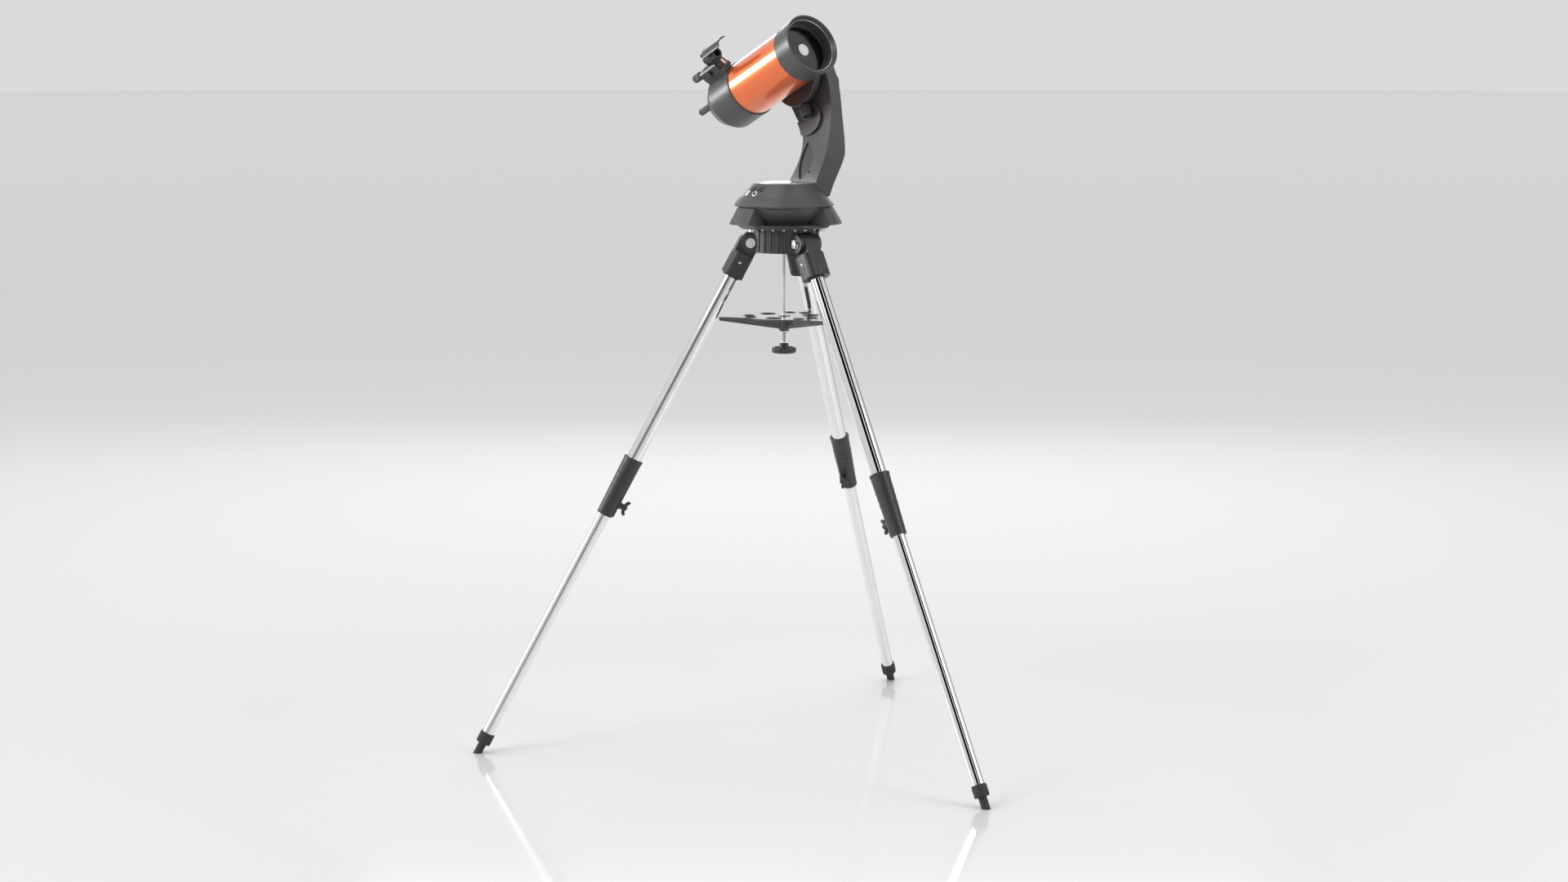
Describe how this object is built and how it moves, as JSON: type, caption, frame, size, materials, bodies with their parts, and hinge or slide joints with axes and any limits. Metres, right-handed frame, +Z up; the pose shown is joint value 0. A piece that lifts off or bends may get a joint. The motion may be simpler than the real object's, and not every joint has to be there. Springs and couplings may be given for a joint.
{
  "type": "schmidt cassegrain telescope",
  "caption": "Orange-tubed catadioptric telescope with a red-dot finder on a single-arm motorised mount, on a folding steel tripod with a tray.",
  "frame": {"origin": "on the floor, midway along the bounding box in X and Y; the upright azimuth axis stands at x = 0.163, y = 0", "axes": "+Z up; one leg points along -X; the tube points 56.9 degrees to the right of +X as seen from above (row azimuth -56.9 degrees) and is raised 25.1 degrees; the arm is on its +X, +Y side"},
  "size_m": [0.9972, 1.1482, 1.5393],
  "materials": {
    "orange_paint": "metallic gloss",
    "charcoal_plastic": "satin, fine grain",
    "black_plastic": "satin",
    "dark_metal": "satin",
    "black_interior": "matt",
    "polished_steel": "polished",
    "bolt_steel": "turned",
    "aluminium": "anodised",
    "rubber": "matt",
    "soft_keys": "satin",
    "mirror": "aluminised",
    "glass": "coated",
    "window_glass": "coated, pinkish",
    "display_glass": "gloss",
    "brass_gear": "machined",
    "battery": "satin"
  },
  "bodies": {
    "head": {"tripod_head": "dark_metal", "leg_pivot_bolts": "bolt_steel", "mount_screws": "bolt_steel", "center_rod": "bolt_steel", "base_housing": "charcoal_plastic", "azimuth_wheel": "brass_gear"},
    "leg_1": {"leg_bracket_1": "black_plastic", "upper_leg_tube_1": "polished_steel", "leg_clamp_1": "black_plastic"},
    "leg_2": {"leg_bracket_2": "black_plastic", "upper_leg_tube_2": "polished_steel", "leg_clamp_2": "black_plastic"},
    "leg_3": {"leg_bracket_3": "black_plastic", "upper_leg_tube_3": "polished_steel", "leg_clamp_3": "black_plastic"},
    "lower_leg_1": {"lower_leg_tube_1": "polished_steel", "rubber_foot_1": "rubber"},
    "lower_leg_2": {"lower_leg_tube_2": "polished_steel", "rubber_foot_2": "rubber"},
    "lower_leg_3": {"lower_leg_tube_3": "polished_steel", "rubber_foot_3": "rubber"},
    "clamp_knob_1": {"clamp_knob_1": "black_plastic"},
    "clamp_knob_2": {"clamp_knob_2": "black_plastic"},
    "clamp_knob_3": {"clamp_knob_3": "black_plastic"},
    "brace": {"brace_tray": "charcoal_plastic"},
    "tension_knob": {"tension_knob": "black_plastic", "tension_spring": "bolt_steel"},
    "mount": {"turntable_shell": "charcoal_plastic", "top_cover": "charcoal_plastic", "port_covers": "rubber", "power_jack": "bolt_steel", "battery_pack": "battery", "drive_motors": "bolt_steel", "arm_inner_shell": "charcoal_plastic", "arm_outer_shell": "charcoal_plastic"},
    "power_button": {"power_button": "black_plastic"},
    "hand_control": {"hand_control_body": "charcoal_plastic", "hand_control_display": "display_glass", "keypad": "soft_keys"},
    "key_up": {"key_up": "soft_keys"},
    "key_down": {"key_down": "soft_keys"},
    "key_left": {"key_left": "soft_keys"},
    "key_right": {"key_right": "soft_keys"},
    "saddle": {"saddle": "dark_metal", "altitude_wheel": "brass_gear"},
    "saddle_knob": {"saddle_knob": "black_plastic"},
    "ota": {"dovetail_bar": "aluminium", "optical_tube": "orange_paint", "front_cell": "black_plastic", "corrector_plate": "glass", "secondary_cell": "aluminium", "secondary_mirror": "mirror", "rear_cell": "charcoal_plastic", "baffle_tube": "black_interior", "visual_back": "bolt_steel", "finder_body": "black_plastic", "finder_window": "window_glass"},
    "focus_knob": {"focus_knob": "black_plastic"},
    "primary_mirror": {"primary_mirror": "mirror"},
    "finder_knob": {"finder_knob": "black_plastic"}
  },
  "joints": [
    {"name": "leg_1_fold", "type": "hinge", "parent": "head", "child": "leg_1", "pos_m": [0.0895, 0, 1.07215], "axis": [0, -1, 0], "range_deg": [0, 15]},
    {"name": "leg_1_extend", "type": "slide", "parent": "leg_1", "child": "lower_leg_1", "axis": [0.4749, 0, 0.8801], "range_m": [0, 0.4]},
    {"name": "clamp_knob_1_turn", "type": "hinge", "parent": "leg_1", "child": "clamp_knob_1", "pos_m": [-0.17578, 0, 0.51731], "axis": [0.8801, 0, -0.4749], "range_deg": [0, 540]},
    {"name": "leg_2_fold", "type": "hinge", "parent": "head", "child": "leg_2", "pos_m": [0.19975, -0.06365, 1.07215], "axis": [0.866, 0.5, 0], "range_deg": [0, 15]},
    {"name": "leg_2_extend", "type": "slide", "parent": "leg_2", "child": "lower_leg_2", "axis": [-0.2374, 0.4112, 0.8801], "range_m": [0, 0.4]},
    {"name": "clamp_knob_2_turn", "type": "hinge", "parent": "leg_2", "child": "clamp_knob_2", "pos_m": [0.33239, -0.2934, 0.51731], "axis": [-0.44, 0.7622, -0.4749], "range_deg": [0, 540]},
    {"name": "leg_3_fold", "type": "hinge", "parent": "head", "child": "leg_3", "pos_m": [0.19975, 0.06365, 1.07215], "axis": [-0.866, 0.5, 0], "range_deg": [0, 15]},
    {"name": "leg_3_extend", "type": "slide", "parent": "leg_3", "child": "lower_leg_3", "axis": [-0.2374, -0.4112, 0.8801], "range_m": [0, 0.4]},
    {"name": "clamp_knob_3_turn", "type": "hinge", "parent": "leg_3", "child": "clamp_knob_3", "pos_m": [0.33239, 0.2934, 0.51731], "axis": [-0.44, -0.7622, -0.4749], "range_deg": [0, 540]},
    {"name": "brace_turn", "type": "hinge", "parent": "head", "child": "brace", "pos_m": [0.163, 0, 0.9], "axis": [0, 0, 1], "range_deg": [0, 60.01]},
    {"name": "tension_knob_turn", "type": "hinge", "parent": "head", "child": "tension_knob", "pos_m": [0.163, 0, 0.85], "axis": [0, 0, 1], "range_deg": [0, 720]},
    {"name": "azimuth_turn", "type": "hinge", "parent": "head", "child": "mount", "pos_m": [0.163, 0, 1.1565], "axis": [0, 0, 1], "continuous": true},
    {"name": "altitude_turn", "type": "hinge", "parent": "mount", "child": "saddle", "pos_m": [0.13825, 0.03791, 1.41889], "axis": [-0.8373, -0.5467, 0], "range_deg": [-40, 65]},
    {"name": "tube_slide", "type": "slide", "parent": "saddle", "child": "ota", "axis": [0.4951, -0.7583, 0.4242], "range_m": [-0.025, 0.025]},
    {"name": "saddle_knob_turn", "type": "hinge", "parent": "saddle", "child": "saddle_knob", "pos_m": [0.2149, 0.0449, 1.34192], "axis": [0.2319, -0.3552, -0.9056], "range_deg": [0, 540]},
    {"name": "focus_knob_turn", "type": "hinge", "parent": "ota", "child": "focus_knob", "pos_m": [0.01853, 0.15543, 1.34434], "axis": [0.4951, -0.7583, 0.4242], "range_deg": [-1080, 1080]},
    {"name": "mirror_focus", "type": "slide", "parent": "ota", "child": "primary_mirror", "axis": [0.4951, -0.7583, 0.4242], "range_m": [-0.00225, 0.00225]},
    {"name": "finder_knob_turn", "type": "hinge", "parent": "ota", "child": "finder_knob", "pos_m": [-0.00103, 0.14001, 1.41033], "axis": [-0.4951, 0.7583, -0.4242], "range_deg": [0, 270]},
    {"name": "power_button_press", "type": "slide", "parent": "mount", "child": "power_button", "axis": [0.6122, 0.4309, -0.663], "range_m": [0, 0.0015], "stiffness_N_per_m": 800, "springref_m": -0.0015},
    {"name": "hand_control_release", "type": "slide", "parent": "mount", "child": "hand_control", "axis": [0.8373, 0.5467, 0], "range_m": [0, 0.06]},
    {"name": "key_up_press", "type": "slide", "parent": "hand_control", "child": "key_up", "axis": [-0.8373, -0.5467, 0], "range_m": [0, 0.001], "stiffness_N_per_m": 600, "springref_m": -0.001},
    {"name": "key_down_press", "type": "slide", "parent": "hand_control", "child": "key_down", "axis": [-0.8373, -0.5467, 0], "range_m": [0, 0.001], "stiffness_N_per_m": 600, "springref_m": -0.001},
    {"name": "key_left_press", "type": "slide", "parent": "hand_control", "child": "key_left", "axis": [-0.8373, -0.5467, 0], "range_m": [0, 0.001], "stiffness_N_per_m": 600, "springref_m": -0.001},
    {"name": "key_right_press", "type": "slide", "parent": "hand_control", "child": "key_right", "axis": [-0.8373, -0.5467, 0], "range_m": [0, 0.001], "stiffness_N_per_m": 600, "springref_m": -0.001}
  ],
  "couplings": [
    {"joint": "leg_2_fold", "follows": "leg_1_fold", "ratio": 1},
    {"joint": "leg_3_fold", "follows": "leg_1_fold", "ratio": 1},
    {"joint": "brace_turn", "follows": "leg_1_fold", "ratio": 4},
    {"joint": "focus_knob_turn", "follows": "mirror_focus", "rad_per_m": 8375.2}
  ]
}
